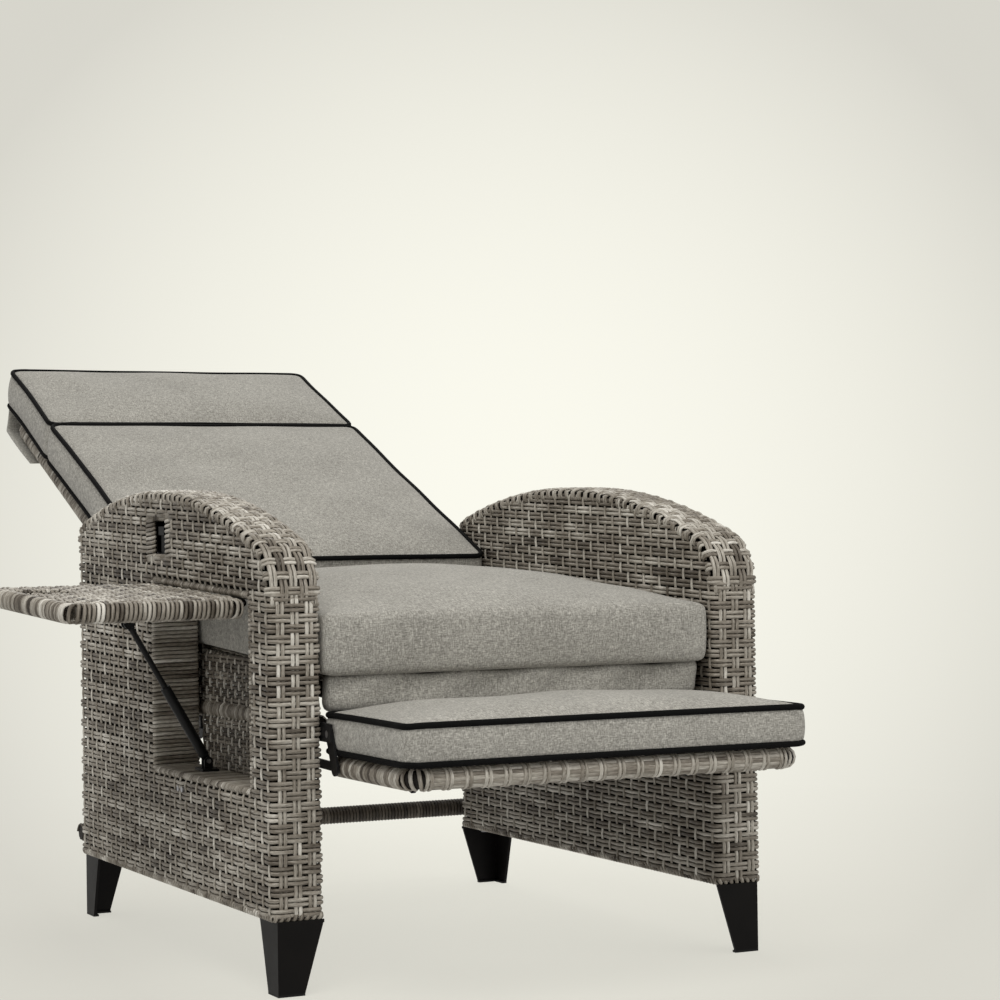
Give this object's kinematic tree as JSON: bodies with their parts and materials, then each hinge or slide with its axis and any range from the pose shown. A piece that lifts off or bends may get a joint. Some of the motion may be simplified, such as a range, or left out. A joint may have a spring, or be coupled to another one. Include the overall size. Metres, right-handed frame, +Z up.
{
  "type": "reclining garden armchair",
  "caption": "Woven garden recliner with arched arm panels, reclining back, swing-up footrest and a flip-up side table folded from one arm.",
  "frame": {"origin": "floor plane, midway between the four legs", "axes": "+Z up, the sitter faces -Y, the side table is on the -X arm"},
  "size_m": [0.9534, 1.7738, 0.8773],
  "materials": {
    "wicker": "mottled grey-brown woven half-round strand",
    "cushion_fabric": "heathered grey canvas with black piping",
    "frame_tube": "powder coated",
    "leg_metal": "satin black-brown powder coat",
    "black_metal": "satin black powder coat",
    "black_plastic": "matt moulded",
    "steel": "zinc plated"
  },
  "bodies": {
    "chassis": {"arm_weave_left": "wicker", "arm_weave_right": "wicker", "arm_frame_left": "frame_tube", "arm_frame_right": "frame_tube", "leg_front_left": "leg_metal", "leg_front_right": "leg_metal", "leg_rear_left": "leg_metal", "leg_rear_right": "leg_metal", "leg_glides": "black_plastic", "frame_bolts": "steel", "rear_stretcher": "wicker", "seat_deck": "wicker", "seat_frame": "frame_tube", "seat_rail_left": "wicker", "seat_rail_right": "wicker", "seat_skirt_left": "wicker", "seat_skirt_right": "wicker", "seat_brackets": "black_metal", "seat_posts": "black_metal", "seat_cushion": "cushion_fabric", "apron_pad": "cushion_fabric", "recline_brackets": "black_metal", "pivot_pins": "steel", "footrest_brackets": "black_metal", "gas_spring_crossbar": "black_metal", "gas_spring_pin": "steel", "table_hinge_fixed_leaves": "black_metal", "table_hinge_pins": "steel", "strut_foot_bracket": "black_metal", "strut_foot_pin": "steel", "table_catch": "black_plastic", "paddle_holder": "black_plastic", "paddle_pin": "steel"},
    "backrest": {"backrest_frame": "wicker", "backrest_weave": "wicker", "backrest_hinge_plate_left": "black_metal", "backrest_hinge_plate_right": "black_metal", "recline_cranks": "black_metal", "back_cushion": "cushion_fabric", "head_cushion": "cushion_fabric", "head_hood": "cushion_fabric", "gas_spring_lever": "black_metal", "link_pins": "steel"},
    "footrest": {"footrest_frame": "wicker", "footrest_weave": "wicker", "footrest_cushion": "cushion_fabric", "footrest_hinge_plate_left": "black_metal", "footrest_hinge_plate_right": "black_metal", "footrest_rockers": "black_metal"},
    "drive_link_left": {"drive_link_left": "black_metal"},
    "drive_link_right": {"drive_link_right": "black_metal"},
    "gas_spring_barrel": {"gas_spring_tube": "black_metal"},
    "gas_spring_piston": {"gas_spring_rod": "steel"},
    "side_table": {"table_weave": "wicker", "table_frame": "frame_tube", "table_bracket": "black_metal", "table_hinge_moving_leaves": "black_metal"},
    "strut_lower": {"strut_tube": "black_metal"},
    "strut_upper": {"strut_rod": "black_metal"},
    "release_paddle": {"release_paddle": "black_plastic"}
  },
  "joints": [
    {"name": "recline", "type": "hinge", "parent": "chassis", "child": "backrest", "pos_m": [0, 0.38, 0.415], "axis": [1, 0, 0], "range_deg": [0, 51]},
    {"name": "footrest_swing", "type": "hinge", "parent": "chassis", "child": "footrest", "pos_m": [0, -0.423, 0.327], "axis": [1, 0, 0], "range_deg": [0, 90.01]},
    {"name": "gas_spring_swing", "type": "hinge", "parent": "chassis", "child": "gas_spring_barrel", "pos_m": [0.134, -0.14, 0.318], "axis": [1, 0, 0], "range_deg": [-0.4763, 0]},
    {"name": "gas_spring_stroke", "type": "slide", "parent": "gas_spring_barrel", "child": "gas_spring_piston", "axis": [0, 0.9963, 0.0864], "range_m": [0, 0.05169]},
    {"name": "table_fold", "type": "hinge", "parent": "chassis", "child": "side_table", "pos_m": [-0.3495, -0.13889, 0.49734], "axis": [0, -0.9992, -0.041], "range_deg": [0, 90]},
    {"name": "strut_swing", "type": "hinge", "parent": "chassis", "child": "strut_lower", "pos_m": [-0.319, -0.06547, 0.26899], "axis": [0, -0.9992, -0.041], "range_deg": [-33.48, 0]},
    {"name": "strut_slide", "type": "slide", "parent": "strut_lower", "child": "strut_upper", "axis": [-0.5059, -0.0354, 0.8619], "range_m": [-0.08858, 0]},
    {"name": "release_paddle", "type": "hinge", "parent": "chassis", "child": "release_paddle", "pos_m": [-0.345, 0.024, 0.55], "axis": [0, 1, 0], "range_deg": [0, 14], "stiffness_Nm_per_rad": 0.6, "springref_deg": -17.19},
    {"name": "link_pivot_left", "type": "hinge", "parent": "backrest", "child": "drive_link_left", "pos_m": [0.202, 0.31542, 0.27961], "axis": [1, 0, 0], "range_deg": [-51.01, 0]},
    {"name": "link_pivot_right", "type": "hinge", "parent": "backrest", "child": "drive_link_right", "pos_m": [-0.202, 0.31542, 0.27961], "axis": [1, 0, 0], "range_deg": [-51.01, 0]}
  ],
  "couplings": [
    {"joint": "footrest_swing", "follows": "recline", "ratio": 1.7647},
    {"joint": "gas_spring_swing", "follows": "recline", "ratio": -0.009156},
    {"joint": "gas_spring_stroke", "follows": "recline", "m_per_rad": 0.057842},
    {"joint": "strut_swing", "follows": "table_fold", "ratio": -0.37191},
    {"joint": "strut_slide", "follows": "table_fold", "m_per_rad": -0.056327},
    {"joint": "link_pivot_left", "follows": "recline", "ratio": -1},
    {"joint": "link_pivot_right", "follows": "recline", "ratio": -1}
  ]
}
